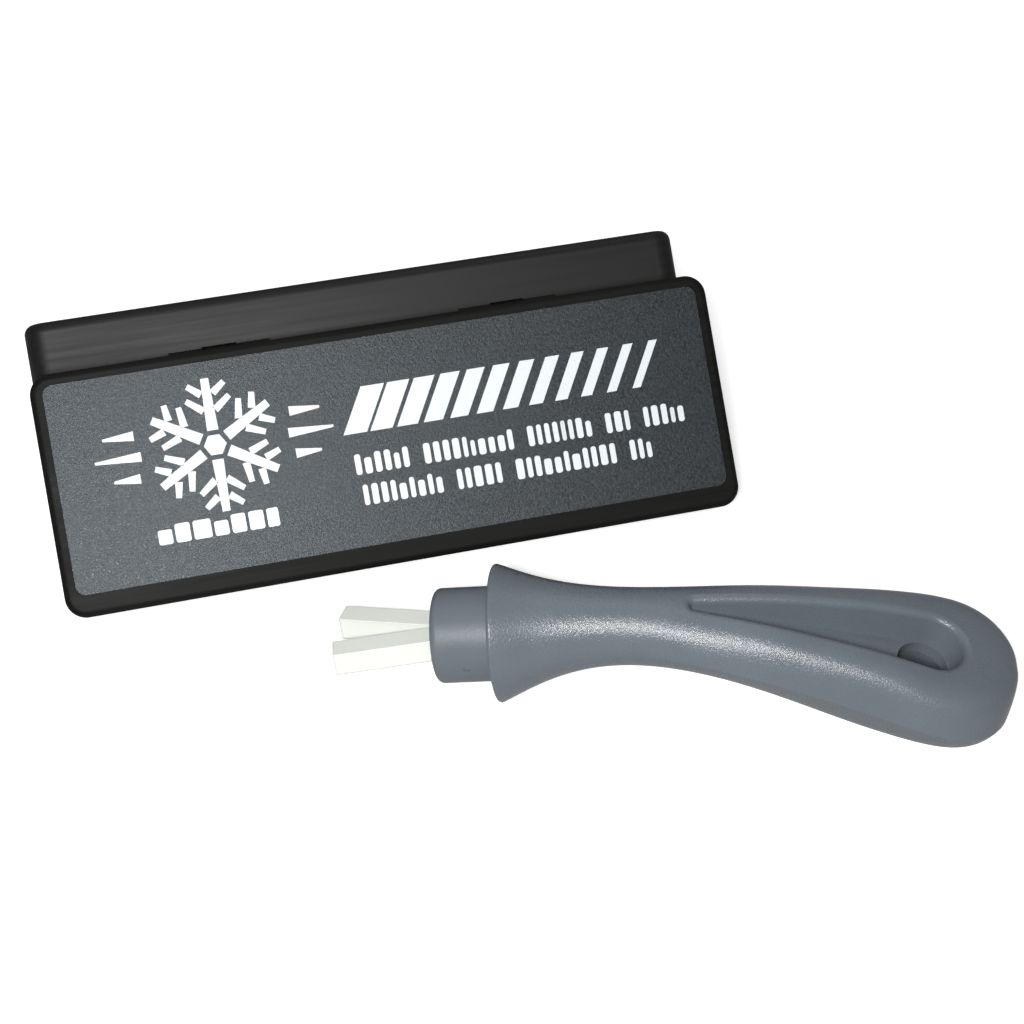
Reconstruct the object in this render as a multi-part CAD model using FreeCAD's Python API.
import FreeCAD, Part
import math
import os

# Skate sharpener: a hand tool with two ceramic rods set in a V, and the hinged case it is kept in.
# Millimetres.  +Z is up, +X runs along the case's hinge, and the case's lid faces -Y.
# The origin is on the ground, in the middle of the whole set's footprint.
# At rest the case stands open like a tent on its two long rims, with the tool lying in front of it.

os.makedirs("parts", exist_ok=True)
V = FreeCAD.Vector
X_AXIS, Y_AXIS, Z_AXIS = V(1, 0, 0), V(0, 1, 0), V(0, 0, 1)

# ---- case ----
CASE_WIDTH = 165.0          # along the hinge
SHELL_HEIGHT = 57.7         # hinge line to the far rim
LID_DEPTH = 20.8
BASE_DEPTH = 14.9           # the two depths just clear the tool's flange when the case is shut
WALL = 1.4
CORNER_R = 5.0              # upright corners of both shells
LID_EDGE_R = 1.6            # rounding round the lid's outer face
BASE_EDGE_R = 2.6           # rounding round the base's outer face
HOLLOW_EDGE_R = 1.0         # rounding inside both shells, and round the foam that fills them
RIM_GAP = 0.05              # each rim stops this far short of the closing plane
RIM_EASE = 0.3              # and the locating lip's root starts this far behind the rim
LEAN = 45.25                # each shell leans this far from upright at rest

LABEL_SIDE, LABEL_TOP, LABEL_FOOT = 3.0, 2.8, 5.3   # black border left round the label panel
LABEL_R = 2.4
LABEL_THICK = 0.4
LABEL_GAP = 0.12

TONGUE = 1.5                # height of the base's locating lip above its rim
TONGUE_THICK = 1.0
TONGUE_ROOT = 3.0           # the lip's root reaches this far down inside the base
TONGUE_BITE = 0.2           # the root sinks this far into the base's wall
TONGUE_GAP = 0.2            # between the lip and the lid's wall
TONGUE_START = 9.0          # the lip leaves the hinge side free
SNAP_R, SNAP_LENGTH, SNAP_X = 0.5, 12.0, 45.0
SNAP_STAND = 0.14           # how far a snap rib stands proud of the lip
SNAP_GROOVE = 0.2           # depth of the groove each rib clicks into

HINGE_X = 36.5              # centre of each hinge, left and right of the middle
HINGE_LENGTH = 25.0
KNUCKLE_R = 2.5
LID_KNUCKLE = 8.2           # length of the middle knuckle, which is the lid's
KNUCKLE_GAP = 0.2
RELIEF = 0.3                # room left in a shell round the other shell's knuckles
PIN_R = 1.0
PIN_CLEARANCE = 0.05        # between a pin and the lid's knuckle

FOAM_SIDE = 1.9             # foam edge to the shell's outer face
FOAM_SINK = 3.3             # foam face below the rim, under the locating lip
FOAM_CLEAR = 0.15
NEST_CLEAR = 0.8            # die-cut outline round the tool
NEST_SHOULDER_X = 132.0     # where the outline's rounded tail end starts, from the rod tips

# ---- tool ----
ROD_SIDE = 5.8              # square ceramic rod
ROD_CORNER = 0.35
ROD_SPREAD = 10.0           # each rod leans this far out from the tool's axis
ROD_EXPOSED = 23.5
ROD_SOCKET = 8.0
ROD_PITCH = 6.1             # between rod centres where they leave the holder
MITRE_GAP = 0.05            # between the two rods' mitred roots and the middle plane
HEAD_ROLL = -11.5           # the rods' plane is turned about the tool's axis, near rod up
HOLDER_R = 11.0
HOLDER_LENGTH = 14.0
HOLDER_EDGE_R = 1.6
SHANK_R = 7.5
SHANK_LENGTH = 16.0
GATE_R, GATE_DEPTH = 0.8, 0.25
GATE_SET_BACK, GATE_ANGLE = 8.0, -80.0   # moulding gate dimple low on the holder's near side

FLANGE_X = 37.5             # front face of the handle, measured from the rod tips
FLANGE_EDGE_R = 0.7
CROWN_X, CROWN_Z = 76.8, 20.70            # highest point of the handle's centre line
BEND_R = 145.0              # the centre line bends over the crown at this radius
HEAD_PITCH, TAIL_PITCH = 11.5, 11.95     # slopes of the straight ends of the centre line
HEAD_TILT = 8.0             # the flange and the head lean back less than the centre line slopes
# The handle's section at stations along it.  From the rod tips: distance, half width, half
# thickness, flatness and roundness.  2, 2 is an ellipse; a high flatness with a roundness of 1
# is a flat-topped section whose drafted sides meet in a crease at the moulding's parting line.
GRIP_STATIONS = [
    (37.5, 16.3, 16.3, 2.0, 2.0),
    (40.0, 15.3, 15.3, 2.0, 2.0),
    (44.7, 13.3, 13.3, 2.0, 2.0),
    (52.0, 10.9, 10.9, 2.0, 2.0),
    (61.0, 9.3, 9.3, 2.0, 2.0),
    (71.0, 9.2, 8.7, 2.1, 1.9),
    (83.0, 11.1, 8.5, 2.6, 1.45),
    (97.0, 13.5, 8.9, 4.0, 1.1),
    (112.0, 15.8, 9.6, 5.8, 1.0),
    (126.0, 18.2, 9.8, 7.5, 1.0),
]
TAIL_X, TAIL_HALF_WIDTH, TAIL_HALF_THICK = 138.0, 20.2, 9.0
TAIL_LENGTH = 17.8          # rounded end of the handle beyond TAIL_X
TAIL_FLATNESS = 8.0
TAIL_BLUNTNESS = 2.5        # 2 would round the end like an ellipse
TAIL_TURNS = (0.0, 0.3, 0.55, 0.74, 0.87, 0.95, 0.987)   # stations along the rounded end

SCOOP_TIP_X, SCOOP_TIP_R = 81.4, 2.1     # thumb scoop: narrow end
SCOOP_END_X, SCOOP_END_R = 135.0, 7.8    # and the wide end, round the hang hole
SCOOP_DRAFT = 12.0          # the scoop's walls open outwards by this many degrees
SCOOP_LIP_Z = 9.0           # the two radii hold this far from the tail's middle plane
SCOOP_WEB = 1.5             # half thickness of the web left between the two scoops
UPPER_TIP_FLOOR = 3.6       # the upper scoop's floor at its narrow end, over the tail's middle plane
LOWER_TIP_FLOOR = 11.3      # and the lower scoop's, under that plane, where the handle curves down
SCOOP_LIP_R = 1.7
HANG_HOLE_R = 6.0
SCOOP_REACH = 30.0          # the scoop's cutting solid stands well clear of the handle

TOOL_YAW = -17.8            # the lying tool's heading, and the spot its flange lies over
TOOL_FLANGE_AT = V(13.2, -83.9, 0)       # both measured from the ground under the hinge
UNDER_HINGE = V(-22.74, 42.41, 0)        # that spot, seen from the middle of the set's footprint


# ---------------------------------------------------------------- helpers

def rounded_box(low, high, upright_r, far_r=0.0):
    """A box with rounded upright edges and, if asked, a rounded rim round its top face."""
    box = Part.makeBox(high.x - low.x, high.y - low.y, high.z - low.z, low)
    upright = [e for e in box.Edges if e.BoundBox.ZLength > 0.5 * (high.z - low.z)]
    box = box.makeFillet(upright_r, upright)
    if far_r:
        rim = [e for e in box.Edges if e.BoundBox.ZMin > high.z - 1e-4]
        box = box.makeFillet(far_r, rim)
    return box


def shell_slab(inset, z_low, z_high, far_r=0.0):
    """A rounded slab with the case's outline, pulled in by inset, in a shell's own frame."""
    half = CASE_WIDTH / 2 - inset
    low = V(-half, inset, z_low)
    high = V(half, SHELL_HEIGHT - inset, z_high)
    return rounded_box(low, high, max(CORNER_R - inset, 0.8), far_r)


def rod_along_x(radius, x_from, x_to):
    return Part.makeCylinder(radius, x_to - x_from, V(x_from, 0, 0), X_AXIS)


def fused(shapes):
    whole = shapes[0]
    for shape in shapes[1:]:
        whole = whole.fuse(shape)
    return whole.removeSplitter()


# ---------------------------------------------------------------- case
# A shell's own frame: the hinge axis is the X axis, +Y runs from the hinge to the far rim,
# and +Z points out through the shell's outer face.  The rim lies just above z = 0.

HINGE_HEIGHT = SHELL_HEIGHT * math.cos(math.radians(LEAN)) - RIM_GAP * math.sin(math.radians(LEAN))
TIP = 90.0 - LEAN
HINGE_AT = UNDER_HINGE + V(0, 0, HINGE_HEIGHT)
BASE_PLACE = FreeCAD.Placement(HINGE_AT, FreeCAD.Rotation(X_AXIS, -TIP))
LID_PLACE = FreeCAD.Placement(HINGE_AT, FreeCAD.Rotation(X_AXIS, TIP)).multiply(
    FreeCAD.Placement(V(0, 0, 0), FreeCAD.Rotation(Z_AXIS, 180)))


def base_knuckle_spans(centre):
    """X spans of one hinge's two outer knuckles, which belong to the base."""
    reach = HINGE_LENGTH / 2
    inner = LID_KNUCKLE / 2 + KNUCKLE_GAP
    return [(centre - reach, centre - inner), (centre + inner, centre + reach)]


def lid_knuckle_span(centre):
    return (centre - LID_KNUCKLE / 2, centre + LID_KNUCKLE / 2)


def open_shell(depth, edge_r):
    """A tray with the case's outline, open at its rim."""
    outer = shell_slab(0, RIM_GAP, depth, edge_r)
    hollow = shell_slab(WALL, -1.0, depth - WALL, HOLLOW_EDGE_R)
    return outer.cut(hollow)


def add_knuckles(shell, own_spans, other_spans, hole_r):
    """Join a shell's own knuckles to it and clear the room the other shell's knuckles need."""
    for low, high in other_spans:
        room = rod_along_x(KNUCKLE_R + RELIEF, low - KNUCKLE_GAP, high + KNUCKLE_GAP)
        shell = shell.cut(room)
    for low, high in own_spans:
        shell = shell.fuse(rod_along_x(KNUCKLE_R, low, high))
    for low, high in own_spans:
        shell = shell.cut(rod_along_x(hole_r, low - KNUCKLE_GAP, high + KNUCKLE_GAP))
    return shell.removeSplitter()


def locating_lip():
    """The lip inside the base's rim that finds the lid's wall as the case closes."""
    root = shell_slab(WALL - TONGUE_BITE, RIM_GAP + RIM_EASE, TONGUE_ROOT)
    lip = shell_slab(WALL + TONGUE_GAP, -TONGUE, TONGUE_ROOT)
    inside = shell_slab(WALL + TONGUE_GAP + TONGUE_THICK, -2 * TONGUE_ROOT, 2 * TONGUE_ROOT)
    hinge_side = Part.makeBox(CASE_WIDTH, TONGUE_START, 4 * TONGUE_ROOT,
                              V(-CASE_WIDTH / 2, 0, -2 * TONGUE_ROOT))
    return fused([root, lip]).cut(inside).cut(hinge_side)


def snap_cylinder(x, y, z, length):
    """A thin cylinder along the rim: a snap rib, or the groove that it clicks into."""
    return Part.makeCylinder(SNAP_R, length, V(x - length / 2, y, z), X_AXIS)


def make_base():
    rib_y = SHELL_HEIGHT - WALL - TONGUE_GAP + SNAP_STAND - SNAP_R
    ribs = [snap_cylinder(x, rib_y, -TONGUE / 2, SNAP_LENGTH) for x in (-SNAP_X, SNAP_X)]
    shell = fused([open_shell(BASE_DEPTH, BASE_EDGE_R), locating_lip()] + ribs)
    own = base_knuckle_spans(-HINGE_X) + base_knuckle_spans(HINGE_X)
    other = [lid_knuckle_span(-HINGE_X), lid_knuckle_span(HINGE_X)]
    return add_knuckles(shell, own, other, PIN_R)


def label_outline(z_low, z_high, gap):
    half = CASE_WIDTH / 2 - LABEL_SIDE + gap
    low = V(-half, LABEL_TOP - gap, z_low)
    high = V(half, SHELL_HEIGHT - LABEL_FOOT + gap, z_high)
    return rounded_box(low, high, LABEL_R + gap)


def make_lid():
    shell = open_shell(LID_DEPTH, LID_EDGE_R)
    shell = shell.cut(label_outline(LID_DEPTH - LABEL_THICK, LID_DEPTH + 1, LABEL_GAP))
    groove_y = SHELL_HEIGHT - WALL + SNAP_GROOVE - SNAP_R
    for x in (-SNAP_X, SNAP_X):
        shell = shell.cut(snap_cylinder(x, groove_y, TONGUE / 2, SNAP_LENGTH + 2 * SNAP_GROOVE))
    own = [lid_knuckle_span(-HINGE_X), lid_knuckle_span(HINGE_X)]
    other = base_knuckle_spans(-HINGE_X) + base_knuckle_spans(HINGE_X)
    return add_knuckles(shell, own, other, PIN_R + PIN_CLEARANCE)


def make_label():
    return label_outline(LID_DEPTH - LABEL_THICK, LID_DEPTH, 0.0)


def make_hinge_pin(centre):
    return rod_along_x(PIN_R, centre - HINGE_LENGTH / 2, centre + HINGE_LENGTH / 2)


def nest_outline(thickness):
    """The die-cut hole the tool lies in, as a prism standing on z = 0."""
    tip = -(TAIL_X + TAIL_LENGTH) / 2
    flange_x, flange_half = tip + FLANGE_X, GRIP_STATIONS[0][1]
    flare_x = tip + GRIP_STATIONS[1][0]
    waist_x, waist_half = tip + GRIP_STATIONS[4][0], GRIP_STATIONS[4][1]
    upper = [V(tip - NEST_CLEAR, HOLDER_R + NEST_CLEAR),
             V(flange_x - NEST_CLEAR, HOLDER_R + NEST_CLEAR),
             V(flange_x - NEST_CLEAR, flange_half + NEST_CLEAR),
             V(flare_x + NEST_CLEAR, flange_half + NEST_CLEAR),
             V(waist_x, waist_half + NEST_CLEAR),
             V(tip + NEST_SHOULDER_X, TAIL_HALF_WIDTH + NEST_CLEAR)]
    tail_end = V(tip + TAIL_X + TAIL_LENGTH + NEST_CLEAR, 0)
    lower = [V(p.x, -p.y) for p in reversed(upper)]
    edges = [Part.makeLine(a, b) for a, b in zip(upper, upper[1:])]
    edges.append(Part.Arc(upper[-1], tail_end, lower[0]).toShape())
    edges += [Part.makeLine(a, b) for a, b in zip(lower, lower[1:])]
    edges.append(Part.makeLine(lower[-1], upper[0]))
    face = Part.Face(Part.Wire(edges))
    face.translate(V(0, SHELL_HEIGHT / 2, 0))
    return face.extrude(V(0, 0, thickness))


def make_foam(depth, mirrored):
    """A die-cut foam sheet that fills a shell round the tool."""
    sheet = shell_slab(FOAM_SIDE, FOAM_SINK, depth - WALL - FOAM_CLEAR, HOLLOW_EDGE_R)
    nest = nest_outline(depth)
    if mirrored:
        nest = nest.mirror(V(0, 0, 0), X_AXIS)
    return sheet.cut(nest)


# ---------------------------------------------------------------- tool
# The tool's own frame: x from the rod tips to the tail, z up from the ground it lies on.

HEAD_TAN, TAIL_TAN = math.tan(math.radians(HEAD_PITCH)), math.tan(math.radians(TAIL_PITCH))
HEAD_BEND_X = CROWN_X - BEND_R * math.sin(math.radians(HEAD_PITCH))
TAIL_BEND_X = CROWN_X + BEND_R * math.sin(math.radians(TAIL_PITCH))
HEAD_BEND_Z = CROWN_Z - BEND_R * (1 - math.cos(math.radians(HEAD_PITCH)))
TAIL_BEND_Z = CROWN_Z - BEND_R * (1 - math.cos(math.radians(TAIL_PITCH)))


def centre_line(x):
    """Height and slope angle (degrees, climbing towards the tail) of the handle's centre line."""
    if x < HEAD_BEND_X:
        return HEAD_BEND_Z - (HEAD_BEND_X - x) * HEAD_TAN, HEAD_PITCH
    if x > TAIL_BEND_X:
        return TAIL_BEND_Z - (x - TAIL_BEND_X) * TAIL_TAN, -TAIL_PITCH
    run = x - CROWN_X
    height = CROWN_Z - BEND_R + math.sqrt(BEND_R ** 2 - run ** 2)
    return height, -math.degrees(math.asin(run / BEND_R))


def place_on_line(x):
    """A placement on the centre line: its X runs along the tool, its Z stands up from it."""
    height, slope = centre_line(x)
    tilt = min(slope, HEAD_TILT)
    return FreeCAD.Placement(V(x, 0, height), FreeCAD.Rotation(Y_AXIS, -tilt))


def section_wire(half_width, half_thick, flatness, roundness):
    """A closed section in the YZ plane: an upper and a lower curve that meet at the parting line."""
    count = 20
    upper = []
    for i in range(count + 1):
        across = math.cos(math.pi * i / count)
        height = max(0.0, 1 - abs(across) ** flatness) ** (1 / roundness)
        upper.append(V(0, half_width * across, half_thick * height))
    edges = []
    for points in (upper, [V(0, p.y, -p.z) for p in reversed(upper)]):
        curve = Part.BSplineCurve()
        curve.interpolate(Points=points)
        edges.append(curve.toShape())
    return Part.Wire(edges)


def grip_sections():
    rows = list(GRIP_STATIONS)
    for reach in TAIL_TURNS:
        shrink = (1 - reach ** TAIL_BLUNTNESS) ** (1 / TAIL_BLUNTNESS)
        rows.append((TAIL_X + TAIL_LENGTH * reach, TAIL_HALF_WIDTH * shrink,
                     TAIL_HALF_THICK * shrink ** 0.3, TAIL_FLATNESS - 4 * reach ** 2, 1.0))
    wires = []
    for x, half_width, half_thick, flatness, roundness in rows:
        wire = section_wire(half_width, half_thick, flatness, roundness)
        wire.Placement = place_on_line(x)
        wires.append(wire)
    return wires


def along_tail(x):
    """Distance x from the rod tips, measured along the tail from where it becomes straight."""
    return (x - TAIL_BEND_X) / math.cos(math.radians(TAIL_PITCH))


def teardrop(tip, end, height):
    """The scoop's outline at a height over the tail's middle plane."""
    grow = (height - SCOOP_LIP_Z) * math.tan(math.radians(SCOOP_DRAFT))
    tip_r, end_r = SCOOP_TIP_R + grow, SCOOP_END_R + grow
    lean = math.asin((end_r - tip_r) / (end - tip))
    sin_lean, cos_lean = math.sin(lean), math.cos(lean)
    tip_touch = V(tip - tip_r * sin_lean, tip_r * cos_lean, height)
    end_touch = V(end - end_r * sin_lean, end_r * cos_lean, height)
    tip_low, end_low = V(tip_touch.x, -tip_touch.y, height), V(end_touch.x, -end_touch.y, height)
    return Part.Wire([
        Part.makeLine(tip_touch, end_touch),
        Part.Arc(end_touch, V(end + end_r, 0, height), end_low).toShape(),
        Part.makeLine(end_low, tip_low),
        Part.Arc(tip_low, V(tip - tip_r, 0, height), tip_touch).toShape()])


def scoop_tool(tip_floor):
    """A teardrop thumb scoop cut into the upper face, in the tail's own frame."""
    tip, end = along_tail(SCOOP_TIP_X), along_tail(SCOOP_END_X)
    prism = Part.makeLoft([teardrop(tip, end, 0), teardrop(tip, end, SCOOP_REACH)], True, True)
    start, far = tip - 2 * SCOOP_TIP_R, end + 2 * SCOOP_END_R
    corners = [V(start, 0, tip_floor), V(end - HANG_HOLE_R, 0, SCOOP_WEB), V(far, 0, SCOOP_WEB),
               V(far, 0, SCOOP_REACH), V(start, 0, SCOOP_REACH)]
    side = Part.makePolygon([p - V(0, SCOOP_REACH, 0) for p in corners + corners[:1]])
    return prism.common(Part.Face(side).extrude(V(0, 2 * SCOOP_REACH, 0)))


def cut_scoop(body, upper):
    """Cut one scoop and round its lip; upper is True for the scoop in the top face."""
    tip_floor = UPPER_TIP_FLOOR if upper else LOWER_TIP_FLOOR
    sign = 1 if upper else -1
    tail = place_on_line(TAIL_BEND_X)
    scoop = scoop_tool(tip_floor)
    if not upper:
        scoop = scoop.mirror(V(0, 0, 0), Z_AXIS)
    scoop.Placement = tail.multiply(scoop.Placement)
    body = body.cut(scoop)
    into_tail = tail.inverse()
    tip, end = along_tail(SCOOP_TIP_X), along_tail(SCOOP_END_X)

    def on_lip(point):
        local = into_tail.multVec(point)
        share = min(1.0, (local.x - tip) / (end - tip))
        floor = tip_floor + (SCOOP_WEB - tip_floor) * share
        beside = abs(local.y) < SCOOP_END_R + 1 and local.x < end + SCOOP_END_R + 1
        return beside and local.x > tip - SCOOP_TIP_R - 1 and sign * local.z > floor + 0.5

    lip = [e for e in body.Edges if all(on_lip(p) for p in e.discretize(9))]
    return body.makeFillet(SCOOP_LIP_R, lip)


def make_handle():
    body = Part.makeLoft(grip_sections(), True, False)
    front = [e for e in body.Edges if e.BoundBox.XMax < FLANGE_X + FLANGE_X / 8]
    body = body.makeFillet(FLANGE_EDGE_R, front)
    body = cut_scoop(body, True)
    body = cut_scoop(body, False)
    hole = Part.makeCylinder(HANG_HOLE_R, 60, V(0, 0, -30), Z_AXIS)
    hole.Placement = place_on_line(SCOOP_END_X).multiply(hole.Placement)
    body = body.cut(hole)
    bore = Part.makeCylinder(SHANK_R, SHANK_LENGTH + 0.5, V(0, 0, 0), X_AXIS)
    bore.Placement = place_on_line(FLANGE_X)
    return body.cut(bore)


# The head's own frame: origin at the middle of the handle's front face, -X towards the rod tips.

def head_place():
    turn = FreeCAD.Placement(V(0, 0, 0), FreeCAD.Rotation(X_AXIS, HEAD_ROLL))
    return place_on_line(FLANGE_X).multiply(turn)


def rod_shape(side, grow=0.0):
    """One rod with its root mitred on the middle plane; side is +1 (far) or -1 (near)."""
    half = ROD_SIDE / 2 + grow
    length = ROD_EXPOSED + ROD_SOCKET + grow
    rod = Part.makeBox(length, 2 * half, 2 * half, V(-ROD_EXPOSED, -half, -half))
    if not grow:
        long_edges = [e for e in rod.Edges if e.BoundBox.XLength > length / 2]
        rod = rod.makeFillet(ROD_CORNER, long_edges)
    rod.rotate(V(0, 0, 0), Z_AXIS, -side * ROD_SPREAD)
    rod.translate(V(-HOLDER_LENGTH, side * ROD_PITCH / 2, 0))
    keep_low = MITRE_GAP if not grow else -1.0
    keep = Part.makeBox(90, 40, 40, V(-60, keep_low, -20))
    if side < 0:
        keep = keep.mirror(V(0, 0, 0), Y_AXIS)
    return rod.common(keep)


def make_holder():
    collar = Part.makeCylinder(HOLDER_R, HOLDER_LENGTH, V(-HOLDER_LENGTH, 0, 0), X_AXIS)
    front = [e for e in collar.Edges if e.BoundBox.XMax < -HOLDER_LENGTH + 1e-3]
    collar = collar.makeFillet(HOLDER_EDGE_R, front)
    shank = Part.makeCylinder(SHANK_R, SHANK_LENGTH, V(0, 0, 0), X_AXIS)
    holder = fused([collar, shank])
    for side in (1, -1):
        holder = holder.cut(rod_shape(side, 0.02))
    gate_at = V(GATE_SET_BACK - HOLDER_LENGTH, 0, -HOLDER_R - GATE_DEPTH)
    gate = Part.makeCylinder(GATE_R, 2 * GATE_DEPTH, gate_at, Z_AXIS)
    gate.rotate(V(0, 0, 0), X_AXIS, GATE_ANGLE)
    return holder.cut(gate)


TOOL_PLACE = FreeCAD.Placement(UNDER_HINGE + TOOL_FLANGE_AT, FreeCAD.Rotation(Z_AXIS, TOOL_YAW)).multiply(
    FreeCAD.Placement(V(-FLANGE_X, 0, 0), FreeCAD.Rotation()))


# ---------------------------------------------------------------- assembly

def moved(shape, *places):
    """The shape carried through the placements, the last one first."""
    whole = FreeCAD.Placement()
    for place in places:
        whole = whole.multiply(place)
    done = shape.copy()
    done.Placement = whole.multiply(done.Placement)
    return done


def build():
    head = head_place()
    nodes = {
        "case_base": moved(make_base(), BASE_PLACE),
        "case_lid": moved(make_lid(), LID_PLACE),
        "label_panel": moved(make_label(), LID_PLACE),
        "hinge_pin_left": moved(make_hinge_pin(-HINGE_X), BASE_PLACE),
        "hinge_pin_right": moved(make_hinge_pin(HINGE_X), BASE_PLACE),
        "base_foam": moved(make_foam(BASE_DEPTH, False), BASE_PLACE),
        "lid_foam": moved(make_foam(LID_DEPTH, True), LID_PLACE),
        "handle": moved(make_handle(), TOOL_PLACE),
        "rod_holder": moved(make_holder(), TOOL_PLACE, head),
        "ceramic_rod_far": moved(rod_shape(1), TOOL_PLACE, head),
        "ceramic_rod_near": moved(rod_shape(-1), TOOL_PLACE, head),
    }
    for name, shape in nodes.items():
        shape.exportStep("parts/" + name + ".step")
        print(name, "valid" if shape.isValid() else "NOT VALID", len(shape.Solids), "solid")
    points = [p for shape in nodes.values() for p in shape.tessellate(0.02)[0]]
    low = V(min(p.x for p in points), min(p.y for p in points), min(p.z for p in points))
    high = V(max(p.x for p in points), max(p.y for p in points), max(p.z for p in points))
    print("footprint centre", round((low.x + high.x) / 2, 3), round((low.y + high.y) / 2, 3),
          "lowest", round(low.z, 3), "size", high - low)


build()
